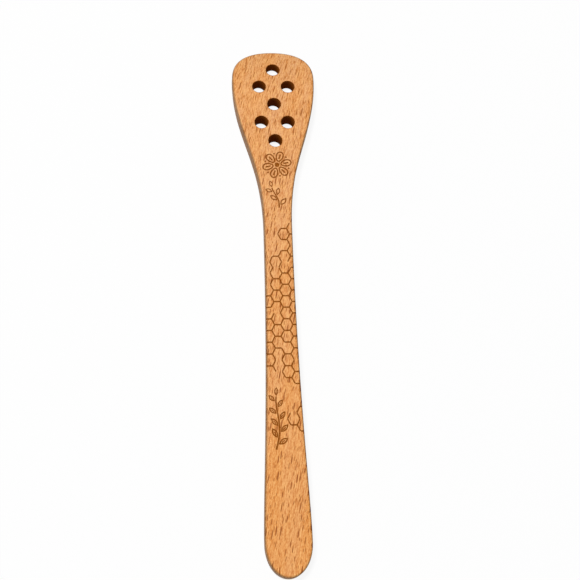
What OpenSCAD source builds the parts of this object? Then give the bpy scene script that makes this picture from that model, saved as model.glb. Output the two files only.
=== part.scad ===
// Flat honey dipper and spreader, cut from one beech board.
// It lies on its back: +Y runs to the tip of the head, +Z out of the front face,
// and the origin is the middle of the board's box on the flat back.

/* [Board] */
// Length from the tip of the head to the end of the handle
board_l = 203; // [185:1:230]
// Thickness of the board
board_t = 7; // [6:0.25:9]

/* [Head] */
// Width of the head where it is widest
head_w = 32; // [26:0.5:38]
// How far the widest place lies from the tip
head_wide_at = 12.5; // [12:0.5:16]
// How far the tip runs level before it turns to the shoulder
tip_level = 5; // [3:0.25:8]
// How far the shoulder runs straight above the widest place
shoulder_reach = 11.5; // [7:0.25:12]
// How far the flank runs straight below the widest place
flank_reach = 24; // [15:1:28]

/* [Neck] */
// Width of the neck
neck_w = 10.5; // [9:0.25:14]
// How far the neck lies from the tip
neck_at = 75; // [68:1:85]
// How far the flank runs straight into the neck
neck_rise = 30; // [20:1:36]
// How far the handle keeps the width of the neck
neck_run = 66; // [40:1:72]

/* [Handle] */
// Width of the handle near its end
butt_w = 16.5; // [14:0.5:22]
// How far that widest place lies from the end
butt_wide_at = 12; // [10:0.5:16]
// How far the handle runs straight into its widest place
butt_rise = 16; // [10:1:24]
// How far the side of the butt runs straight past the widest place
butt_reach = 7.5; // [4:0.25:9]
// How far the very end runs level before it turns
butt_level = 4.2; // [3:0.1:6]

/* [Thinned tip] */
// Thickness at the tip
tip_t = 4; // [3.5:0.25:6]
// Length over which the front face falls to the tip
thin_l = 30; // [15:1:36]

/* [Edges] */
// Radius that softens the front edge
front_round = 0.8; // [0.4:0.1:2]
// Radius that softens the back edge
back_round = 0.8; // [0.4:0.1:1.4]

/* [Holes] */
// Bore of each drip hole
hole_d = 5.2; // [4:0.1:5.6]
// How far the first hole lies from the tip
first_hole_at = 8.6; // [6:0.2:10]
// Step from one row of holes to the next
hole_row = 7.8; // [6.5:0.1:8.6]
// How far the upper pair of holes stands off the middle line
upper_side = 5.6; // [4:0.1:6.5]
// How far the lower pair of holes stands off the middle line
lower_side = 5.1; // [4:0.1:6.5]
// How far each rim is eased, on both faces
rim_ease = 0.15; // [0.1:0.05:0.5]

/* [Hidden] */

// Flats on each quarter of the outline: tip, flank, handle, butt
tip_steps = 18;
flank_steps = 20;
handle_steps = 22;
butt_steps = 14;
// Flats across each softened edge
edge_steps = 5;
// Flats round each hole
bore_flats = 64;
// How far a drill passes each face
drill_past = 1;

tip_y = board_l / 2;
butt_y = -board_l / 2;
head_y = tip_y - head_wide_at;
neck_y = tip_y - neck_at;
grip_y = butt_y + butt_wide_at;
head_half = head_w / 2;
neck_half = neck_w / 2;
butt_half = butt_w / 2;

// The right side of the outline, from the tip to the butt, as four cubic curves.
tip_curve = [[0, tip_y], [tip_level, tip_y], [head_half, head_y + shoulder_reach], [head_half, head_y]];
flank_curve = [[head_half, head_y], [head_half, head_y - flank_reach], [neck_half, neck_y + neck_rise],
    [neck_half, neck_y]];
handle_curve = [[neck_half, neck_y], [neck_half, neck_y - neck_run], [butt_half, grip_y + butt_rise],
    [butt_half, grip_y]];
butt_curve = [[butt_half, grip_y], [butt_half, grip_y - butt_reach], [butt_level, butt_y], [0, butt_y]];

// A point of a cubic curve, and the direction that the curve runs in there.
function curve_point(c, t) =
    (1 - t) ^ 3 * c[0] + 3 * (1 - t) ^ 2 * t * c[1] + 3 * (1 - t) * t ^ 2 * c[2] + t ^ 3 * c[3];
function curve_run(c, t) =
    (1 - t) ^ 2 * (c[1] - c[0]) + 2 * (1 - t) * t * (c[2] - c[1]) + t ^ 2 * (c[3] - c[2]);

// One place on the outline: where it is, and the way that points straight out of the wood.
function place(c, t) = let (run = curve_run(c, t)) [curve_point(c, t), [-run.y, run.x] / norm(run)];
function places(c, steps) = [for (i = [0:steps - 1]) place(c, i / steps)];
function mirrored(s) = [[-s[0].x, s[0].y], [-s[1].x, s[1].y]];

right_side = [
    each places(tip_curve, tip_steps),
    each places(flank_curve, flank_steps),
    each places(handle_curve, handle_steps),
    each places(butt_curve, butt_steps),
    place(butt_curve, 1),
];
last = len(right_side) - 1;
outline = [each right_side, for (i = [last - 1:-1:1]) mirrored(right_side[i])];
around = len(outline);

// Height of the front face: level along the board, then falling in a soft curve to the tip.
function front_z(y) = board_t - (board_t - tip_t) * max(0, 1 - (tip_y - y) / thin_l) ^ 2;

// The skin, ring by ring from the back face to the front face. A ring is drawn in from the outline,
// and lies at a height above the back or at a depth under the front.
function back_ring(a) = [back_round * (1 - sin(a)), back_round * (1 - cos(a))];
function front_ring(a) = [front_round * (1 - cos(a)), front_round * (1 - sin(a))];
back_rings = [for (i = [0:edge_steps]) back_ring(90 * i / edge_steps)];
front_rings = [for (i = [0:edge_steps]) front_ring(90 * i / edge_steps)];
function drawn_in(s, inset) = s[0] - inset * s[1];
function ring_points(rings, from_front) = [
    for (ring = rings, s = outline)
        let (p = drawn_in(s, ring[0]))
            [p.x, p.y, from_front ? front_z(p.y) - ring[1] : ring[1]]
];
skin = concat(ring_points(back_rings, false), ring_points(front_rings, true));
ring_count = len(back_rings) + len(front_rings);

// The walls between rings, then the two faces as rungs from side to side.
wall_faces = [
    for (r = [0:ring_count - 2], i = [0:around - 1])
        let (low = r * around, high = low + around, j = (i + 1) % around)
            each [[low + i, low + j, high + j], [low + i, high + j, high + i]]
];
function rungs(base, up) = [
    for (i = [0:last - 1])
        let (a = base + i, b = base + i + 1,
            c = base + (around - i - 1) % around, d = base + (around - i) % around)
            each [if (i < last - 1) up ? [a, c, b] : [a, b, c], if (i > 0) up ? [a, d, c] : [a, c, d]]
];

// The board, with its outline, its thinned tip and both edges softened.
module board() {
    polyhedron(
        points = skin,
        faces = [each wall_faces, each rungs(0, false), each rungs((ring_count - 1) * around, true)],
        convexity = 4
    );
}

// Five rows of holes from the tip down: one on the middle line, then a pair, by turns.
row_sides = [0, upper_side, 0, lower_side, 0];
function row_y(row) = tip_y - first_hole_at - row * hole_row;
hole_places = [
    for (row = [0:len(row_sides) - 1], side = row_sides[row] == 0 ? [0] : [-1, 1])
        [side * row_sides[row], row_y(row)]
];

// Fall of the front face towards the tip, as an angle.
function front_fall(y) =
    atan(2 * (board_t - tip_t) * max(0, 1 - (tip_y - y) / thin_l) / thin_l);

// A cone of 45 degrees that widens a bore by the easing where it meets the face.
module rim_cone() {
    translate([0, 0, -2 * rim_ease])
        cylinder(r1 = hole_d / 2 - rim_ease, r2 = hole_d / 2 + 2 * rim_ease, h = 3 * rim_ease, $fn = bore_flats);
}

// A bore square to the back, with its rim eased square to each face.
module drip_hole(p) {
    translate([p.x, p.y, -drill_past])
        cylinder(d = hole_d, h = board_t + 2 * drill_past, $fn = bore_flats);
    translate([p.x, p.y, 0])
        rotate([180, 0, 0])
            rim_cone();
    translate([p.x, p.y, front_z(p.y)])
        rotate([-front_fall(p.y), 0, 0])
            rim_cone();
}

module dipper() {
    color("sandybrown")
        difference() {
            board();
            for (p = hole_places)
                drip_hole(p);
        }
}

dipper();
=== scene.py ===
import math
import bmesh
import bpy
from mathutils import Matrix, Vector


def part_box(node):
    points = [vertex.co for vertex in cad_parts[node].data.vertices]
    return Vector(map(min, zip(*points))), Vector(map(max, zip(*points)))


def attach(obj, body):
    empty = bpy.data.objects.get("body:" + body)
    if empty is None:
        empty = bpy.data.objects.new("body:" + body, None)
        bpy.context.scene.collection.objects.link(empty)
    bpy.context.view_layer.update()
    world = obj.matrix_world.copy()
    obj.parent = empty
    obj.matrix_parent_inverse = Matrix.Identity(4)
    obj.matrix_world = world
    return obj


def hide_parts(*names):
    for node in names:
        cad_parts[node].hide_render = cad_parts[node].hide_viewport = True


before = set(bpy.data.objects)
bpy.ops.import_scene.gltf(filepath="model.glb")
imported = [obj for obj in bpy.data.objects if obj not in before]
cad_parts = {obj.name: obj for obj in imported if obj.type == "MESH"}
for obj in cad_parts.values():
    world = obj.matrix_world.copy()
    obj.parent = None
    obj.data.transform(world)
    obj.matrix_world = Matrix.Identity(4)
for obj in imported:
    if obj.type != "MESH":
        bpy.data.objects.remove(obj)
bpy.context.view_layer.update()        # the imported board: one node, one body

mm = 0.001               # the trees below work in millimetres, and growMesh turns their result to metres
scene = bpy.context.scene
scene.view_settings.view_transform = "Standard"


# A socket in a formula: each sign adds one Math node to its tree.
class Wire:
    def __init__(self, tree, socket):
        self.tree = tree
        self.socket = socket

    def __add__(self, other):
        return calc(self.tree, "ADD", self, other)

    def __radd__(self, other):
        return calc(self.tree, "ADD", other, self)

    def __sub__(self, other):
        return calc(self.tree, "SUBTRACT", self, other)

    def __rsub__(self, other):
        return calc(self.tree, "SUBTRACT", other, self)

    def __mul__(self, other):
        return calc(self.tree, "MULTIPLY", self, other)

    def __rmul__(self, other):
        return calc(self.tree, "MULTIPLY", other, self)

    def __truediv__(self, other):
        return calc(self.tree, "DIVIDE", self, other)

    def __neg__(self):
        return calc(self.tree, "MULTIPLY", self, -1.0)


def plug(tree, value, socket):
    if isinstance(value, Wire):
        tree.links.new(value.socket, socket)
    elif isinstance(value, bpy.types.NodeSocket):
        tree.links.new(value, socket)
    else:
        socket.default_value = value


def addNode(tree, kind, sockets=None, **settings):
    node = tree.nodes.new(kind)
    for name, value in settings.items():
        setattr(node, name, value)
    for name, value in (sockets or {}).items():
        plug(tree, value, node.inputs[name])
    return node


def calc(tree, operation, *values):
    node = addNode(tree, "ShaderNodeMath", operation=operation)
    for value, socket in zip(values, node.inputs):
        plug(tree, value, socket)
    return Wire(tree, node.outputs[0])


def sine(angle):
    return calc(angle.tree, "SINE", angle)


def cosine(angle):
    return calc(angle.tree, "COSINE", angle)


def smaller(first, second):
    return calc(first.tree, "MINIMUM", first, second)


def larger(first, second):
    return calc(first.tree, "MAXIMUM", first, second)


def absolute(wire):
    return calc(wire.tree, "ABSOLUTE", wire)


def whole(wire):
    return calc(wire.tree, "FLOOR", wire)


def remainder(wire, divisor):
    return calc(wire.tree, "MODULO", wire, divisor)


def root(wire):
    return calc(wire.tree, "SQRT", wire)


def isAbove(wire, limit):
    return calc(wire.tree, "GREATER_THAN", wire, limit)


# A value that runs evenly from low to high while the wire runs from start to end, and stops there.
def ramp(wire, start, end, low=0.0, high=1.0, smooth=False):
    node = addNode(wire.tree, "ShaderNodeMapRange", clamp=True)
    node.interpolation_type = "SMOOTHSTEP" if smooth else "LINEAR"
    for value, socket in zip((wire, start, end, low, high), node.inputs):
        plug(wire.tree, value, socket)
    return Wire(wire.tree, node.outputs["Result"])


# One of several values, chosen by a whole number from 0.
def pick(tree, index, values):
    node = addNode(tree, "GeometryNodeIndexSwitch", {"Index": index}, data_type="FLOAT")
    while len(node.index_switch_items) < len(values):
        node.index_switch_items.new()
    for number, value in enumerate(values):
        plug(tree, value, node.inputs[1 + number])
    return Wire(tree, node.outputs["Output"])


def combine(tree, x, y, z=0.0):
    return addNode(tree, "ShaderNodeCombineXYZ", {"X": x, "Y": y, "Z": z}).outputs[0]


def separate(tree, vector):
    node = addNode(tree, "ShaderNodeSeparateXYZ", {"Vector": vector})
    return [Wire(tree, output) for output in node.outputs]


def position(tree):
    return separate(tree, addNode(tree, "GeometryNodeInputPosition").outputs[0])


def indexOf(tree):
    return Wire(tree, addNode(tree, "GeometryNodeInputIndex").outputs[0])


def startTree(name, inputs):
    tree = bpy.data.node_groups.new(name, "GeometryNodeTree")
    kinds = {float: "NodeSocketFloat", int: "NodeSocketInt", bpy.types.Material: "NodeSocketMaterial"}
    for label, value in inputs.items():
        tree.interface.new_socket(label, in_out="INPUT", socket_type=kinds[type(value)]).default_value = value
    tree.interface.new_socket("Geometry", in_out="OUTPUT", socket_type="NodeSocketGeometry")
    start = tree.nodes.new("NodeGroupInput")
    return tree, {label: Wire(tree, start.outputs[label]) for label in inputs}


def endTree(tree, geometry, material):
    real = addNode(tree, "GeometryNodeRealizeInstances", {"Geometry": geometry})
    dressed = addNode(tree, "GeometryNodeSetMaterial", {"Geometry": real.outputs[0], "Material": material})
    addNode(tree, "NodeGroupOutput", {"Geometry": dressed.outputs[0]})


# A sheet of corners, with how far each lies across it and along it, from 0 to 1.
def sheet(tree, across, along):
    grid = addNode(tree, "GeometryNodeMeshGrid", {"Vertices X": across, "Vertices Y": along})
    u, v, _ = separate(tree, grid.outputs["UV Map"])
    return grid.outputs["Mesh"], u, v


def moveTo(tree, geometry, x, y, z=0.0):
    place = combine(tree, x, y, z)
    return addNode(tree, "GeometryNodeSetPosition", {"Geometry": geometry, "Position": place}).outputs[0]


def join(tree, *geometries):
    node = addNode(tree, "GeometryNodeJoinGeometry")
    for geometry in geometries:
        tree.links.new(geometry, node.inputs[0])
    return node.outputs[0]


def weld(tree, geometry):
    node = addNode(tree, "GeometryNodeMergeByDistance", {"Geometry": geometry, "Distance": 0.001})
    return node.outputs[0]


# Copies of a shape on points, each turned about Z and scaled.
def spreadOn(tree, count, x, y, shape, turn=0.0, scale=1.0, kept=True):
    points = addNode(tree, "GeometryNodePoints", {"Count": count, "Position": combine(tree, x, y)})
    rotation = addNode(tree, "FunctionNodeEulerToRotation", {"Euler": combine(tree, 0.0, 0.0, turn)})
    copies = addNode(tree, "GeometryNodeInstanceOnPoints", {"Points": points.outputs[0], "Instance": shape})
    plug(tree, rotation.outputs[0], copies.inputs["Rotation"])
    plug(tree, combine(tree, scale, scale, 1.0), copies.inputs["Scale"])
    plug(tree, kept, copies.inputs["Selection"])
    return addNode(tree, "GeometryNodeRealizeInstances", {"Geometry": copies.outputs[0]}).outputs[0]


# Runs a tree with these inputs and returns its result as a plain mesh object in metres.
def growMesh(name, tree, values):
    piece = bpy.data.objects.new(name, bpy.data.meshes.new(name))
    scene.collection.objects.link(piece)
    modifier = piece.modifiers.new("Form", "NODES")
    modifier.node_group = tree
    for item in tree.interface.items_tree:
        if item.in_out == "INPUT":
            modifier[item.identifier] = values[item.name]
    depsgraph = bpy.context.evaluated_depsgraph_get()
    mesh = bpy.data.meshes.new_from_object(piece.evaluated_get(depsgraph), depsgraph=depsgraph)
    mesh.transform(Matrix.Scale(mm, 4))
    piece.modifiers.clear()
    piece.data = mesh
    return piece


# Camera
cameraSettings = {
    "place": (-31.4, -125.5, 399.6),   # millimetres, over the handle and a little to its left
    "target": (3.5, 1.3, 7.0),
    "lean": 2.13,                       # degrees that the top of the picture leans to the right
    "lens": 69.9,
    "sensor": 36.0,
}


def addCamera(settings):
    data = bpy.data.cameras.new("viewCamera")
    data.lens = settings["lens"]
    data.sensor_width = settings["sensor"]
    data.clip_start = 0.01
    camera = bpy.data.objects.new("viewCamera", data)
    scene.collection.objects.link(camera)
    place = Vector(settings["place"]) * mm
    ahead = (Vector(settings["target"]) * mm - place).normalized()
    right = ahead.cross(Vector((0, 1, 0))).normalized()
    turn = Matrix((right, right.cross(ahead), -ahead)).transposed().to_4x4()
    lean = Matrix.Rotation(-math.radians(settings["lean"]), 4, "Z")
    camera.matrix_world = Matrix.Translation(place) @ turn @ lean
    scene.camera = camera


addCamera(cameraSettings)
print("camera placed")


# Materials: oiled beech with painted shade on its rims and sides, a much darker brown for the walls of the
# holes, and the wood that the etching scorched
beechColors = {
    "base": (0.820, 0.328, 0.073, 1.0),
    "pale": (0.950, 0.505, 0.175, 1.0),
    "deep": (0.560, 0.170, 0.022, 1.0),
    "honey": (0.805, 0.450, 0.235, 1.0),
    "amber": (0.780, 0.290, 0.035, 1.0),
    "fleck": (0.270, 0.055, 0.001, 1.0),
    # painted shade for rims and sides, tinted grey as a painted reflection of the white surroundings; it
    # multiplies the wood's colour there
    "side": (0.530, 0.585, 0.690, 1.0),
    # a much darker brown for the walls of the holes
    "bored": (0.310, 0.080, 0.004, 1.0),
    "scorch": (0.260, 0.070, 0.004, 1.0),
}


def blendColor(tree, share, first, second, kind="MIX"):
    node = addNode(tree, "ShaderNodeMix", data_type="RGBA", blend_type=kind)
    for value, socket in ((share, node.inputs[0]), (first, node.inputs[6]), (second, node.inputs[7])):
        plug(tree, value, socket)
    return node.outputs[2]


def noise(tree, x, y, detail=2.0, roughness=0.5):
    sockets = {"Vector": combine(tree, x, y), "Scale": 1.0, "Detail": detail, "Roughness": roughness}
    node = addNode(tree, "ShaderNodeTexNoise", sockets, noise_dimensions="2D")
    return Wire(tree, node.outputs["Fac"])


# Dark dashes, each a long oval in its own cell, and the oily wood round them. The share says how many cells
# hold a dash, and a cell's random colour says whether it does, how large the dash is and how dark.
def dashes(tree, x, y, width, length, reach, share):
    sockets = {"Vector": combine(tree, x / width, y / length), "Scale": 1.0}
    cells = addNode(tree, "ShaderNodeTexVoronoi", sockets, voronoi_dimensions="2D")
    chance, largeness, darkness = separate(tree, cells.outputs["Color"])
    distance = Wire(tree, cells.outputs["Distance"]) - reach * ramp(largeness, 0.0, 1.0, 0.6, 1.1)
    present = isAbove(share, chance) * ramp(darkness, 0.0, 1.0, 0.75, 1.0)
    dash = ramp(distance, -0.03, 0.01, 1.0, 0.0, smooth=True)
    halo = ramp(distance, -0.03, 0.16, 1.0, 0.0, smooth=True)
    return dash * present, halo * present


# Sizes of the figure in millimetres. A width and a length are those of one cell of a layer's noise.
figureSizes = {
    "Lean": 0.20,            # how far the grain runs to the right for each length along the board
    "Lean Change": 0.0001,   # and how much more of that for each millimetre
    "Slant": 0.5,            # how far it runs sideways for each length through the thickness
    "Drift": 0.9,            # how far the grain wanders sideways
    "Drift Width": 16.0,
    "Drift Length": 50.0,
    "Wobble": 0.25,          # how far a dash bends
    "Wobble Width": 0.9,
    "Wobble Length": 4.0,
    "Tone Width": 7.0,       # broad changes between the base colour and honey
    "Tone Length": 60.0,
    "Band Width": 2.2,       # deeper bands, as year rings leave
    "Band Length": 45.0,
    "Streak Width": 0.45,
    "Streak Length": 9.0,
    "Fibre Width": 0.40,
    "Fibre Length": 3.4,
    "Mottle Width": 0.40,
    "Mottle Length": 0.9,
    "Dash Width": 1.3,       # a cell that holds one dash
    "Dash Length": 9.5,
    "Dash Reach": 0.18,      # half of the dash, as a share of its cell
    "Tick Width": 0.8,       # the same for the small dashes
    "Tick Length": 5.0,
    "Tick Reach": 0.18,
    "Handle End": -80.0,     # places along the board: the figure changes evenly between these two
    "Head Middle": 70.0,
    "Head Start": 20.0,      # from here to the head's middle the dashes grow fainter, by this share
    "Head Softness": 0.3,
}


# The figure of beech. The plain numbers that are added to a place keep the layers apart.
def beechFigure(sizes):
    tree = bpy.data.node_groups.new("beechFigure", "ShaderNodeTree")
    tree.interface.new_socket("Vector", in_out="INPUT", socket_type="NodeSocketVector")
    for label, value in sizes.items():
        tree.interface.new_socket(label, in_out="INPUT", socket_type="NodeSocketFloat").default_value = value
    for label, kind in (("Color", "NodeSocketColor"), ("Height", "NodeSocketFloat")):
        tree.interface.new_socket(label, in_out="OUTPUT", socket_type=kind)
    start = tree.nodes.new("NodeGroupInput")
    size = {label: Wire(tree, start.outputs[label]) for label in sizes}

    # the grain leans, wanders, and runs on through the thickness
    x, y, z = [axis * (1 / mm) for axis in separate(tree, start.outputs["Vector"])]
    drift = noise(tree, x / size["Drift Width"], y / size["Drift Length"], detail=1.0) - 0.5
    wobble = noise(tree, x / size["Wobble Width"], y / size["Wobble Length"], detail=1.0) - 0.5
    x = x - y * (size["Lean"] + y * size["Lean Change"]) + z * size["Slant"] + drift * size["Drift"]
    bent = x + wobble * size["Wobble"]

    # the layers, each a value from 0 to 1
    tone = noise(tree, x / size["Tone Width"], y / size["Tone Length"])
    bands = noise(tree, x / size["Band Width"] + 31.0, y / size["Band Length"])
    streaks = noise(tree, x / size["Streak Width"], y / size["Streak Length"], detail=3.0, roughness=0.6)
    fibres = noise(tree, x / size["Fibre Width"], y / size["Fibre Length"] + 7.0, roughness=0.6)
    mottle = noise(tree, x / size["Mottle Width"], y / size["Mottle Length"] + 3.0, roughness=0.6)
    head = ramp(y, size["Handle End"], size["Head Middle"])
    softness = ramp(y, size["Head Start"], size["Head Middle"], 0.0, size["Head Softness"])
    dash, dashHalo = dashes(tree, bent, y, size["Dash Width"], size["Dash Length"], size["Dash Reach"],
                            head * 0.1 + 0.75)
    tick, tickHalo = dashes(tree, bent + 40.0, y, size["Tick Width"], size["Tick Length"], size["Tick Reach"],
                            head * 0.2 + 0.55)

    # their colours, one over the other
    layers = (
        (head * 0.5 + ramp(tone, 0.35, 0.65, -0.1, 0.3), "honey"),
        (ramp(bands, 0.50, 0.75, 0.0, 0.25), "deep"),
        (ramp(streaks, 0.52, 0.66, 0.0, 0.3), "pale"),
        (ramp(streaks, 0.48, 0.32, 0.0, 0.3), "deep"),
        (ramp(fibres, 0.50, 0.66, 0.0, 0.7), "pale"),
        (ramp(fibres, 0.50, 0.34, 0.0, 0.7), "deep"),
        (ramp(mottle, 0.36, 0.54, 0.35, 0.0), "deep"),
        (ramp(mottle, 0.50, 0.66, 0.0, 0.35), "pale"),
        (tickHalo * 0.4, "amber"),
        (dashHalo * 0.3, "amber"),
        (tick * (0.9 - softness), "fleck"),
        (dash * (1.0 - softness), "fleck"),
    )
    color = beechColors["base"]
    for share, name in layers:
        color = blendColor(tree, share, color, beechColors[name])
    height = fibres * 0.5 + streaks * 0.3 - dash * 0.6 - tick * 0.3
    addNode(tree, "NodeGroupOutput", {"Color": color, "Height": height})
    return tree


figureTree = beechFigure(figureSizes)


def startMaterial(name):
    material = bpy.data.materials.new(name)
    material.use_nodes = True
    tree = material.node_tree
    tree.nodes.clear()
    place = addNode(tree, "ShaderNodeTexCoord")
    figure = addNode(tree, "ShaderNodeGroup", node_tree=figureTree)
    tree.links.new(place.outputs["Object"], figure.inputs["Vector"])
    return material, tree, figure, place


# A dull surface with fine relief, whose strength is that of the bump.
def endMaterial(tree, color, height, roughness, specular, strength):
    bump = addNode(tree, "ShaderNodeBump", {"Strength": strength, "Distance": 0.05 * mm, "Height": height})
    surface = addNode(tree, "ShaderNodeBsdfPrincipled", {"Base Color": color, "Roughness": roughness})
    surface.inputs["Specular IOR Level"].default_value = specular
    tree.links.new(bump.outputs["Normal"], surface.inputs["Normal"])
    addNode(tree, "ShaderNodeOutputMaterial", {"Surface": surface.outputs["BSDF"]})


def beechMaterial():
    material, tree, figure, _ = startMaterial("oiledBeech")
    height = Wire(tree, figure.outputs["Height"])
    normal = addNode(tree, "ShaderNodeNewGeometry").outputs["Normal"]
    steepness = calc(tree, "ARCCOSINE", absolute(separate(tree, normal)[2]))
    # painted shade: the steeper the surface, the more the side colour darkens and greys the wood, as shade
    # and a painted reflection
    edge = ramp(steepness, 0.08, 0.8)             # in radians: rims and sides are darker and greyer
    color = blendColor(tree, edge, figure.outputs["Color"], beechColors["side"], kind="MULTIPLY")
    endMaterial(tree, color, height, roughness=0.6 - height * 0.1, specular=0.2, strength=0.35)
    return material


def boredMaterial():
    material, tree, figure, _ = startMaterial("boredBeech")
    height = Wire(tree, figure.outputs["Height"])
    # the walls of the holes take almost all of the bored colour, so they are much darker than the rest of the
    # board
    color = blendColor(tree, 0.95, figure.outputs["Color"], beechColors["bored"])
    endMaterial(tree, color, height, roughness=0.8, specular=0.0, strength=0.5)
    return material


def scorchMaterial():
    material, tree, figure, place = startMaterial("scorchedBeech")
    x, y, _ = [axis * (1 / mm) for axis in separate(tree, place.outputs["Object"])]
    spot = 0.6                                    # millimetres from one burnt spot to the next
    char = noise(tree, x / spot, y / spot, detail=3.0)
    color = blendColor(tree, ramp(char, 0.3, 0.7, 1.0, 0.8), figure.outputs["Color"], beechColors["scorch"])
    endMaterial(tree, color, char, roughness=0.9, specular=0.0, strength=0.5)
    return material


beech = beechMaterial()
bored = boredMaterial()
scorched = scorchMaterial()
print("materials made")


# The board: one skin swept round the outline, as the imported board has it, with finer steps
boardLow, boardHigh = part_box("dipper")
boardSizes = {
    "Length": (boardHigh.y - boardLow.y) / mm,
    "Thickness": (boardHigh.z - boardLow.z) / mm,
    "Head Width": (boardHigh.x - boardLow.x) / mm,
    "Head Wide At": 12.5,       # how far the widest place lies from the tip
    "Tip Level": 5.0,           # a level, reach, rise or run is how far a handle stands from its curve's end
    "Shoulder Reach": 11.5,
    "Flank Reach": 24.0,
    "Neck Width": 10.5,
    "Neck At": 75.0,
    "Neck Rise": 30.0,
    "Neck Run": 66.0,
    "Butt Width": 16.5,
    "Butt Wide At": 12.0,
    "Butt Rise": 16.0,
    "Butt Reach": 7.5,
    "Butt Level": 4.2,
    "Tip Thickness": 4.0,
    "Thin Length": 30.0,
    "Front Round": 0.8,
    "Back Round": 0.8,
    "Inset": 0.0,               # how far the skin is drawn in all round
    "Around": 720,              # steps round the outline, and across each face, round and wall
    "Face Rows": 8,
    "Round Rows": 6,
    "Wall Rows": 4,
    "Material": beech,
}


# Height of the front face: level along the board, then falling in a soft curve to the tip.
def frontHeight(size, y):
    fall = larger(1.0 - (size["Length"] / 2.0 - y) / size["Thin Length"], 0.0)
    return size["Thickness"] - (size["Thickness"] - size["Tip Thickness"]) * fall * fall


def boardTree(sizes):
    tree, size = startTree("boardForm", sizes)
    rows = (size["Face Rows"] + size["Round Rows"]) * 2.0 + size["Wall Rows"]
    mesh, u, v = sheet(tree, size["Around"] + 1.0, rows + 1.0)

    # the right side as four cubic curves, each from a start, two handles and an end
    tipY = size["Length"] / 2.0
    headX = size["Head Width"] / 2.0
    headY = tipY - size["Head Wide At"]
    neckX = size["Neck Width"] / 2.0
    neckY = tipY - size["Neck At"]
    buttX = size["Butt Width"] / 2.0
    gripY = size["Butt Wide At"] - tipY
    xs = [[0.0, headX, neckX, buttX], [size["Tip Level"], headX, neckX, buttX],
          [headX, neckX, buttX, size["Butt Level"]], [headX, neckX, buttX, 0.0]]
    ys = [[tipY, headY, neckY, gripY],
          [tipY, headY - size["Flank Reach"], neckY - size["Neck Run"], gripY - size["Butt Reach"]],
          [headY + size["Shoulder Reach"], neckY + size["Neck Rise"], gripY + size["Butt Rise"], -tipY],
          [headY, neckY, gripY, -tipY]]
    half = 1.0 - absolute(1.0 - u * 2.0)
    which = smaller(whole(half * 4.0), 3.0)       # which of the four, and how much of it is done and left
    t = half * 4.0 - which
    left = 1.0 - t
    ax, bx, cx, dx = [pick(tree, which, values) for values in xs]
    ay, by, cy, dy = [pick(tree, which, values) for values in ys]

    def point(a, b, c, d):
        return left * left * left * a + 3.0 * left * left * t * b + 3.0 * left * t * t * c + t * t * t * d

    def run(a, b, c, d):
        return left * left * (b - a) + 2.0 * left * t * (c - b) + t * t * (d - c)

    runX = run(ax, bx, cx, dx)
    runY = run(ay, by, cy, dy)
    runLength = root(runX * runX + runY * runY)

    # the rows: out over the back face, round its edge, up the wall, round the front edge and in again
    row = v * rows
    backRim = size["Face Rows"]
    wallFoot = backRim + size["Round Rows"]
    wallTop = wallFoot + size["Wall Rows"]
    frontRim = wallTop + size["Round Rows"]
    backTurn = ramp(row, backRim, wallFoot, 0.0, math.pi / 2)
    frontTurn = ramp(row, wallTop, frontRim, 0.0, math.pi / 2)
    spread = smaller(ramp(row, 0.0, backRim), ramp(row, frontRim, rows, 1.0, 0.0))
    inset = size["Inset"] + size["Back Round"] * (1.0 - sine(backTurn))
    inset = inset + size["Front Round"] * (1.0 - cosine(frontTurn))
    side = 1.0 - isAbove(u, 0.5) * 2.0
    x = (point(ax, bx, cx, dx) + inset * runY / runLength) * spread * side
    y = point(ay, by, cy, dy) - inset * runX / runLength
    low = size["Inset"] + size["Back Round"] * (1.0 - cosine(backTurn))
    high = frontHeight(size, y) - size["Inset"] - size["Front Round"] * (1.0 - sine(frontTurn))
    z = low + (high - low) * ramp(row, wallFoot, wallTop)
    endTree(tree, weld(tree, moveTo(tree, mesh, x, y, z)), size["Material"])
    return tree


boardForm = boardTree(boardSizes)
board = growMesh("etched_board", boardForm, boardSizes)
grooveDepth = 0.15              # of the etching: its floor is the skin of a core that much smaller all round
core = growMesh("board_core", boardForm, {**boardSizes, "Inset": grooveDepth, "Material": scorched})
print("board:", len(board.data.polygons), "faces")


# The drill bits that cut the seven holes, with both rims eased
drillSizes = {
    "Length": boardSizes["Length"],
    "Thickness": boardSizes["Thickness"],
    "Tip Thickness": boardSizes["Tip Thickness"],
    "Thin Length": boardSizes["Thin Length"],
    "Hole Width": 5.2,
    "Rim Ease": 0.15,
    "First Hole At": 8.6,       # from the tip
    "Row Step": 7.8,
    "Upper Side": 5.6,          # from the middle line to each hole of the upper pair
    "Lower Side": 5.1,
    "Past": 1.0,                # how far a bit stands past each face
    "Around": 72,
    "Rim Steps": 3,
    "Material": bored,
}


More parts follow.
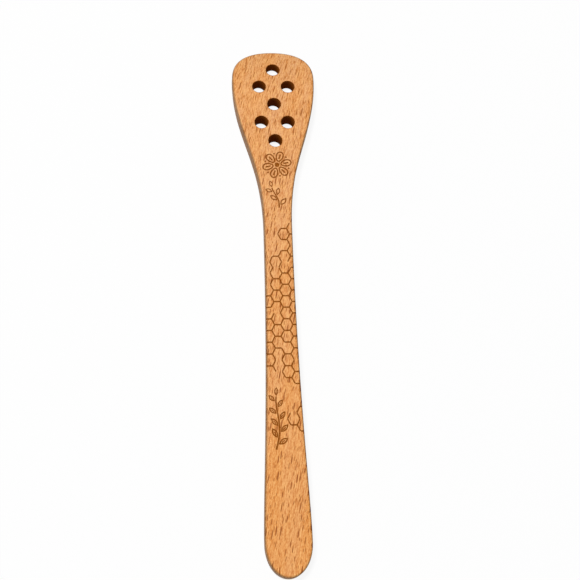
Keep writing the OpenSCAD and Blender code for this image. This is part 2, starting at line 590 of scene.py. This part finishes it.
def drillTree(sizes):
    tree, size = startTree("drillBits", sizes)

    # one bit: a row for its closed foot and one up to the board, then the eased lower rim, one for the bore,
    # the eased upper rim, and the same two rows at the top
    steps = size["Rim Steps"]
    rows = steps * 2.0 + 5.0
    mesh, u, v = sheet(tree, size["Around"] + 1.0, rows + 1.0)
    row = v * rows
    boreFoot = 2.0 + steps
    boreTop = 3.0 + steps
    rimTop = boreTop + steps
    lowEase = ramp(row, 2.0, boreFoot, 1.0, 0.0)
    highEase = ramp(row, boreTop, rimTop)
    lowPast = ramp(row, 1.0, 2.0, 1.0, 0.0)
    highPast = ramp(row, rimTop, rimTop + 1.0)
    ease = lowEase + highEase
    closed = smaller(ramp(row, 0.0, 1.0), ramp(row, rows - 1.0, rows, 1.0, 0.0))
    radius = size["Hole Width"] / 2.0 + size["Rim Ease"] * ease * ease + size["Past"] * (lowPast + highPast)
    radius = radius * closed
    low = size["Rim Ease"] * (1.0 - lowEase) - size["Past"] * lowPast
    high = size["Thickness"] - size["Rim Ease"] * (1.0 - highEase) + size["Past"] * highPast
    z = low + (high - low) * ramp(row, boreFoot, boreTop)
    angle = u * (2 * math.pi)
    bit = weld(tree, moveTo(tree, mesh, cosine(angle) * radius, sine(angle) * radius, z))

    # seven of them, in five rows from the tip
    upper = size["Upper Side"]
    lower = size["Lower Side"]
    sides = [0.0, upper, -upper, 0.0, lower, -lower, 0.0]
    row = pick(tree, indexOf(tree), [0.0, 1.0, 1.0, 2.0, 3.0, 3.0, 4.0])
    y = size["Length"] / 2.0 - size["First Hole At"] - row * size["Row Step"]
    bits = spreadOn(tree, len(sides), pick(tree, indexOf(tree), sides), y, bit)

    # the front half of each bit follows the fall of the front face
    x, y, z = position(tree)
    fall = (size["Thickness"] - frontHeight(size, y)) * isAbove(z, size["Thickness"] / 2.0)
    endTree(tree, moveTo(tree, bits, x, y, z - fall), size["Material"])
    return tree


drillBits = growMesh("drill_bits", drillTree(drillSizes), drillSizes)
print("drill bits:", len(drillBits.data.polygons), "faces")


# Etching: flat shapes on the front, raised into cutters that reach from inside the core to over the board
etchSizes = {
    "Low": boardSizes["Thickness"] - boardSizes["Front Round"] - 0.1,   # under the round of the edge too
    "High": boardSizes["Thickness"] + 0.5,
    "Material": scorched,
}


# A strip with pointed ends, three of which close up where cells of a comb meet.
def strip(tree, length, width):
    circle = addNode(tree, "GeometryNodeMeshCircle", {"Vertices": 6, "Radius": 1.0}, fill_type="NGON")
    x, y, _ = position(tree)
    isTip = isAbove(absolute(x), 0.75)       # of the six corners two lie at 1 and four at a half
    reach = length / 2.0 - width / (2 * math.sqrt(3)) * (1.0 - isTip)
    return moveTo(tree, circle.outputs["Mesh"], calc(tree, "SIGN", x) * reach, y * width / math.sqrt(3))


def endEtching(tree, flat, size):
    x, y, _ = position(tree)
    base = weld(tree, moveTo(tree, flat, x, y, size["Low"]))
    raised = addNode(tree, "GeometryNodeExtrudeMesh", {"Mesh": base, "Individual": False}, mode="FACES")
    plug(tree, combine(tree, 0.0, 0.0, size["High"] - size["Low"]), raised.inputs["Offset"])
    under = addNode(tree, "GeometryNodeFlipFaces", {"Mesh": base})
    endTree(tree, weld(tree, join(tree, raised.outputs["Mesh"], under.outputs[0])), size["Material"])


combSizes = {
    "Cell Height": 4.4,         # flat to flat
    "Squeeze": 0.88,            # how much narrower than regular the cells are
    "Line Width": 0.55,
    "Top": 24.1,                # where the comb starts on the middle line, and where it has died out
    "Bottom": -33.0,
    "Top Slope": 2.086,         # how much sooner it starts for each millimetre to the right
    "Bottom Slope": 0.4,        # and how much later it ends
    "Side Reach": 7.0,          # how far it reaches to each side
    "Fade": 8.0,                # over this length it thins out at both ends, to these shares
    "Top Share": 0.6,
    "Bottom Share": 0.3,
    "Cells Kept": 0.97,
    "Lines Kept": 0.91,
    "Shift": 1.9,               # how far all of it lies to the right
    "Columns": 7,
    "Rows": 22,
    "Seed": 74,
    **etchSizes,
}
combEndSizes = {                # three more cells by the right edge, nearer to the end of the handle
    **combSizes,
    "Top": -47.8,
    "Bottom": -49.8,
    "Top Slope": 0.786,
    "Bottom Slope": 0.0,
    "Fade": 0.1,
    "Cells Kept": 1.0,
    "Lines Kept": 0.8,
    "Shift": 1.5,
    "Columns": 4,
    "Rows": 4,
    "Seed": 1,
}


def combTree(sizes):
    tree, size = startTree("honeycomb", sizes)
    side = size["Cell Height"] / math.sqrt(3)

    def oddness(column):
        return remainder(column, 2.0)

    def cellMiddle(column, row):
        x = (column - (size["Columns"] - 1.0) / 2.0) * side * 1.5
        first = size["Top"] + size["Top Slope"] * size["Side Reach"]
        return x, first - (row + oddness(column) * 0.5) * size["Cell Height"]

    def chance(number, seed):
        node = addNode(tree, "FunctionNodeRandomValue", {"ID": number, "Seed": seed}, data_type="FLOAT")
        return Wire(tree, node.outputs[1])

    # cells are left out at random, more of them towards both ends
    def isDrawn(column, row):
        x, y = cellMiddle(column, row)
        below = size["Top"] + x * size["Top Slope"] - y
        above = y - size["Bottom"] + x * size["Bottom Slope"]
        density = smaller(ramp(below, 0.0, size["Fade"], size["Top Share"], 1.0),
                          ramp(above, 0.0, size["Fade"], size["Bottom Share"], 1.0))
        isInside = isAbove(below, 0.0) * isAbove(above, 0.0)
        luck = chance(column * size["Rows"] + row, size["Seed"])
        return isAbove(density * size["Cells Kept"], luck) * isInside

    # each cell owns three lines: its top and the two on its right
    index = indexOf(tree)
    column = whole(index / (size["Rows"] * 3.0))
    rest = index - column * size["Rows"] * 3.0
    row = whole(rest / 3.0)
    edge = rest - row * 3.0
    nextColumn = column + isAbove(edge, 0.5)
    nextRow = pick(tree, edge, [row - 1.0, row - 1.0 + oddness(column), row + oddness(column)])

    # a line is cut where either of its two cells is drawn, but for a few that are left out
    kept = larger(isDrawn(column, row), isDrawn(nextColumn, nextRow))
    kept = kept * isAbove(size["Lines Kept"], chance(index, size["Seed"] + 1.0))
    x, y = cellMiddle(column, row)
    angle = math.radians(90) - edge * math.radians(60)
    x = x + cosine(angle) * size["Cell Height"] / 2.0
    y = y + sine(angle) * size["Cell Height"] / 2.0
    line = strip(tree, side, size["Line Width"])
    count = size["Columns"] * size["Rows"] * 3.0
    lines = spreadOn(tree, count, x, y, line, turn=angle - math.radians(90), kept=kept)
    x, y, _ = position(tree)
    endEtching(tree, moveTo(tree, lines, x * size["Squeeze"] + size["Shift"], y), size)
    return tree


combForm = combTree(combSizes)
combs = [growMesh("honeycomb_cutter", combForm, sizes) for sizes in (combSizes, combEndSizes)]
print("honeycomb:", sum(len(comb.data.polygons) for comb in combs), "faces")


blossomSizes = {
    "Center X": 0.3,
    "Center Y": 51.5,
    "Turn": math.radians(12),   # of the first petal, from pointing right
    "Petals": 6,
    "Petal At": 3.5,            # middle of a petal, from the middle of the blossom
    "Petal Length": 3.9,
    "Petal Width": 2.5,
    "Egg Shape": 0.22,          # how much wider it is at its outer end, and narrower at its inner one
    "Petal Steps": 48,
    "Line Width": 0.54,
    "Vein Width": 0.60,
    "Vein Share": 0.55,         # length of a vein, as a share of its petal
    "Heart Width": 1.9,
    "Dot Width": 0.7,
    "Dot At": 4.7,
    "Disc Steps": 40,
    **etchSizes,
}


def blossomTree(sizes):
    tree, size = startTree("blossom", sizes)

    # a petal: an egg-shaped line, wider outside, with one vein
    mesh, u, v = sheet(tree, size["Petal Steps"] + 1.0, 2)
    angle = u * (2 * math.pi)
    edge = (v - 0.5) * size["Line Width"]
    wide = size["Petal Width"] / 2.0 * (1.0 + cosine(angle) * size["Egg Shape"])
    x = size["Petal At"] + cosine(angle) * (size["Petal Length"] / 2.0 + edge)
    petal = weld(tree, moveTo(tree, mesh, x, sine(angle) * (wide + edge)))
    vein = strip(tree, size["Petal Length"] * size["Vein Share"], size["Vein Width"])
    vein = spreadOn(tree, 1, size["Petal At"], 0.0, vein)
    turn = indexOf(tree) * (2 * math.pi) / size["Petals"] + size["Turn"]
    petals = spreadOn(tree, size["Petals"], 0.0, 0.0, join(tree, petal, vein), turn=turn)

    # the heart: a disc, and a dot outside between each two petals
    sockets = {"Vertices": size["Disc Steps"], "Radius": 0.5}
    disc = addNode(tree, "GeometryNodeMeshCircle", sockets, fill_type="NGON")
    heart = spreadOn(tree, 1, 0.0, 0.0, disc.outputs[0], scale=size["Heart Width"])
    between = (indexOf(tree) + 0.5) * (2 * math.pi) / size["Petals"] + size["Turn"]
    dots = spreadOn(tree, size["Petals"], cosine(between) * size["Dot At"], sine(between) * size["Dot At"],
                    disc.outputs[0], scale=size["Dot Width"])
    x, y, _ = position(tree)
    flat = moveTo(tree, join(tree, petals, heart, dots), x + size["Center X"], y + size["Center Y"])
    endEtching(tree, flat, size)
    return tree


blossom = growMesh("blossom_cutter", blossomTree(blossomSizes), blossomSizes)

sprigSizes = {
    "Center X": -2.7,
    "Center Y": -48.1,
    "Turn": 4.0,                # degrees that the sprig leans to the right
    "Length": 19.0,
    "Sway": 0.9,
    "Stem Steps": 32,
    "Stem Foot": 1.2,           # how thick the stem is at both ends, as a share of the line's width
    "Stem End": 0.9,
    "Leaves": 9,
    "First Leaf At": 0.08,      # as a share of the stem
    "Last Leaf Size": 0.75,     # as a share of the first leaf
    "Leaf Length": 4.1,
    "Leaf Width": 2.0,
    "Leaf Angle": 41.0,         # degrees between a leaf and the stem
    "Leaf Fullness": 0.85,      # the lower, the fuller
    "Leaf Line": 0.9,           # as a share of the line's width
    "Leaf Point": 1.6,          # how much wider that line is at both points
    "Leaf Steps": 40,
    "Gap": 0.65,                # from the middle of the stem to a leaf
    "Vein At": 0.46,            # middle and length of a vein, as shares of its leaf; small leaves have none
    "Vein Share": 0.36,
    "Vein Line": 0.7,           # as a share of the leaf's line
    "Line Width": 0.60,
    **etchSizes,
}
sideSprigSizes = {
    **sprigSizes,
    "Center X": -0.4,
    "Center Y": 38.0,
    "Turn": -14.0,
    "Length": 8.5,
    "Sway": 0.5,
    "Leaves": 5,
    "Leaf Length": 3.6,
    "Leaf Width": 1.9,
    "Vein Share": 0.0,
    "Line Width": 0.50,
}


def sprigTree(sizes):
    tree, size = startTree("sprig", sizes)
    bend = math.pi * 1.5        # three quarters of a wave

    def stemX(share):
        return size["Sway"] * sine(share * bend)

    # the stem, thinner towards its end
    mesh, u, v = sheet(tree, size["Stem Steps"] + 1.0, 2)
    width = size["Line Width"] * ramp(u, 0.0, 1.0, size["Stem Foot"], size["Stem End"])
    stem = moveTo(tree, mesh, stemX(u) + (0.5 - v) * width, (u - 0.5) * size["Length"])

    # a leaf: a line that comes to a point at both ends, where it is wider, and its vein
    mesh, u, v = sheet(tree, size["Leaf Steps"] + 1.0, 2)
    half = 1.0 - absolute(1.0 - u * 2.0)
    belly = calc(tree, "POWER", sine(half * math.pi), size["Leaf Fullness"])
    thin = size["Line Width"] * size["Leaf Line"]
    point = v * thin * size["Leaf Point"]
    x = point + half * (size["Leaf Length"] - point * 2.0)
    y = belly * (size["Leaf Width"] / 2.0 - v * thin) * (1.0 - isAbove(u, 0.5) * 2.0)
    leaf = weld(tree, moveTo(tree, mesh, x, y))
    vein = strip(tree, size["Leaf Length"] * size["Vein Share"], thin * size["Vein Line"])
    vein = spreadOn(tree, 1, size["Leaf Length"] * size["Vein At"], 0.0, vein,
                    kept=isAbove(size["Vein Share"], 0.0))

    # leaves by turns left and right, smaller towards the end, and one on the end itself
    index = indexOf(tree)
    last = size["Leaves"] - 1.0
    isLast = isAbove(index, last - 0.5)
    share = ramp(index, 0.0, last, size["First Leaf At"], 1.0)
    side = (remainder(index, 2.0) * 2.0 - 1.0) * (1.0 - isLast)
    ahead = calc(tree, "ARCTAN2", size["Length"], size["Sway"] * cosine(share * bend) * bend)
    turn = ahead + side * calc(tree, "RADIANS", size["Leaf Angle"])
    gap = size["Gap"] * (1.0 - isLast * 0.5)
    x = stemX(share) + cosine(turn) * gap
    y = (share - 0.5) * size["Length"] + sine(turn) * gap
    leaves = spreadOn(tree, size["Leaves"], x, y, join(tree, leaf, vein), turn=turn,
                      scale=ramp(share, 0.0, 1.0, 1.0, size["Last Leaf Size"]))
    x, y, _ = position(tree)
    lean = calc(tree, "RADIANS", size["Turn"])
    flat = moveTo(tree, join(tree, stem, leaves), x * cosine(lean) + y * sine(lean) + size["Center X"],
                  y * cosine(lean) - x * sine(lean) + size["Center Y"])
    endEtching(tree, flat, size)
    return tree


sprigForm = sprigTree(sprigSizes)
sprigs = [growMesh("sprig_cutter", sprigForm, sizes) for sizes in (sprigSizes, sideSprigSizes)]
print("ornament:", len(blossom.data.polygons) + sum(len(sprig.data.polygons) for sprig in sprigs), "faces")


# Carving: the cutters leave the board, the core closes the grooves, then the holes are drilled
def turnOutward(piece):
    shape = bmesh.new()
    shape.from_mesh(piece.data)
    bmesh.ops.recalc_face_normals(shape, faces=shape.faces)
    shape.to_mesh(piece.data)
    shape.free()


def carve(piece, tool, operation):
    turnOutward(tool)
    modifier = piece.modifiers.new("Carve", "BOOLEAN")
    modifier.operation = operation
    modifier.solver = "EXACT"
    modifier.material_mode = "TRANSFER"
    modifier.object = tool
    depsgraph = bpy.context.evaluated_depsgraph_get()
    mesh = bpy.data.meshes.new_from_object(piece.evaluated_get(depsgraph), depsgraph=depsgraph)
    piece.modifiers.clear()
    piece.data = mesh
    bpy.data.objects.remove(tool)


# Where edges of two shapes nearly meet, the cuts leave slivers, which are merged into their neighbours.
def clean(piece):
    sliver = 0.001 * mm
    shape = bmesh.new()
    shape.from_mesh(piece.data)
    bmesh.ops.remove_doubles(shape, verts=shape.verts, dist=sliver)
    bmesh.ops.dissolve_degenerate(shape, edges=shape.edges, dist=sliver)
    bmesh.ops.triangulate(shape, faces=[face for face in shape.faces if len(face.verts) > 4])
    shape.to_mesh(piece.data)
    shape.free()


turnOutward(board)
for cutter in (*combs, blossom, *sprigs):
    carve(board, cutter, "DIFFERENCE")
carve(board, core, "UNION")
carve(board, drillBits, "DIFFERENCE")
clean(board)
for face in board.data.polygons:
    face.use_smooth = True
sharpAngle = 32                 # degrees between two faces, past which their edge stays sharp
board.data.set_sharp_from_angle(angle=math.radians(sharpAngle))
print("carved:", len(board.data.polygons), "faces")

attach(board, "root")
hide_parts("dipper")


# Floor and light
stageSettings = {
    "floorSize": 6.0,                        # metres
    "floorDrop": 0.02,                       # millimetres under the board, so that no faces share a plane
    "floorShade": (0.42, 0.40, 0.37, 1.0),   # what the board's walls see
    "floorWhite": (0.90, 0.90, 0.90, 1.0),   # what the camera sees the shadow on
    "shadowShare": 0.10,                     # how much of a shadow the camera sees on the floor
    "shadowFade": (0.15, 0.6),               # metres from the board over which the floor turns plain white
    "skyLight": 0.22,                        # how strongly the white world lights the board
    "lampPlace": (-0.50, 0.28, 1.97),        # metres, and so is its size
    "lampSize": 0.5,
    "lampPower": 34.5,
}


# 1 where the camera looks, straight or by a reflection, and 0 for the light that falls on things
def isSeen(tree):
    ray = addNode(tree, "ShaderNodeLightPath")
    straight, glossy, through = [Wire(tree, ray.outputs[name])
                                 for name in ("Is Camera Ray", "Is Glossy Ray", "Is Transmission Ray")]
    return larger(straight, larger(glossy, through))


def addFloor(settings):
    half = settings["floorSize"] / 2
    corners = [(-half, -half, 0), (half, -half, 0), (half, half, 0), (-half, half, 0)]
    data = bpy.data.meshes.new("floor")
    data.from_pydata(corners, [], [(0, 1, 2, 3)])
    floor = bpy.data.objects.new("floor", data)
    floor.location.z = -settings["floorDrop"] * mm
    scene.collection.objects.link(floor)
    material = bpy.data.materials.new("paleFloor")
    material.use_nodes = True
    tree = material.node_tree
    tree.nodes.clear()
    shade = addNode(tree, "ShaderNodeBsdfDiffuse", {"Color": settings["floorShade"]})
    white = addNode(tree, "ShaderNodeBsdfDiffuse", {"Color": settings["floorWhite"]})
    glow = addNode(tree, "ShaderNodeEmission", {"Color": (1.0, 1.0, 1.0, 1.0)})
    x, y, _ = separate(tree, addNode(tree, "ShaderNodeTexCoord").outputs["Object"])
    away = root(x * x + y * y)
    seen = addNode(tree, "ShaderNodeMixShader")
    plug(tree, ramp(away, *settings["shadowFade"], settings["shadowShare"], 0.0, smooth=True), seen.inputs[0])
    tree.links.new(glow.outputs[0], seen.inputs[1])
    tree.links.new(white.outputs[0], seen.inputs[2])
    mix = addNode(tree, "ShaderNodeMixShader")
    plug(tree, isSeen(tree), mix.inputs[0])
    tree.links.new(shade.outputs[0], mix.inputs[1])
    tree.links.new(seen.outputs[0], mix.inputs[2])
    addNode(tree, "ShaderNodeOutputMaterial", {"Surface": mix.outputs[0]})
    data.materials.append(material)


def addLamp(settings):
    data = bpy.data.lights.new("windowLamp", "AREA")
    data.shape = "DISK"
    data.size = settings["lampSize"]
    data.energy = settings["lampPower"]
    lamp = bpy.data.objects.new("windowLamp", data)
    lamp.location = settings["lampPlace"]
    lamp.rotation_euler = (-lamp.location).to_track_quat("-Z", "Y").to_euler()
    scene.collection.objects.link(lamp)


def addWorld(settings):
    world = bpy.data.worlds.new("studio")
    scene.world = world
    world.use_nodes = True
    tree = world.node_tree
    background = tree.nodes["Background"]
    background.inputs["Color"].default_value = (1.0, 1.0, 1.0, 1.0)
    plug(tree, ramp(isSeen(tree), 0.0, 1.0, settings["skyLight"], 1.0), background.inputs["Strength"])


addFloor(stageSettings)
addLamp(stageSettings)
addWorld(stageSettings)
print("stage set")
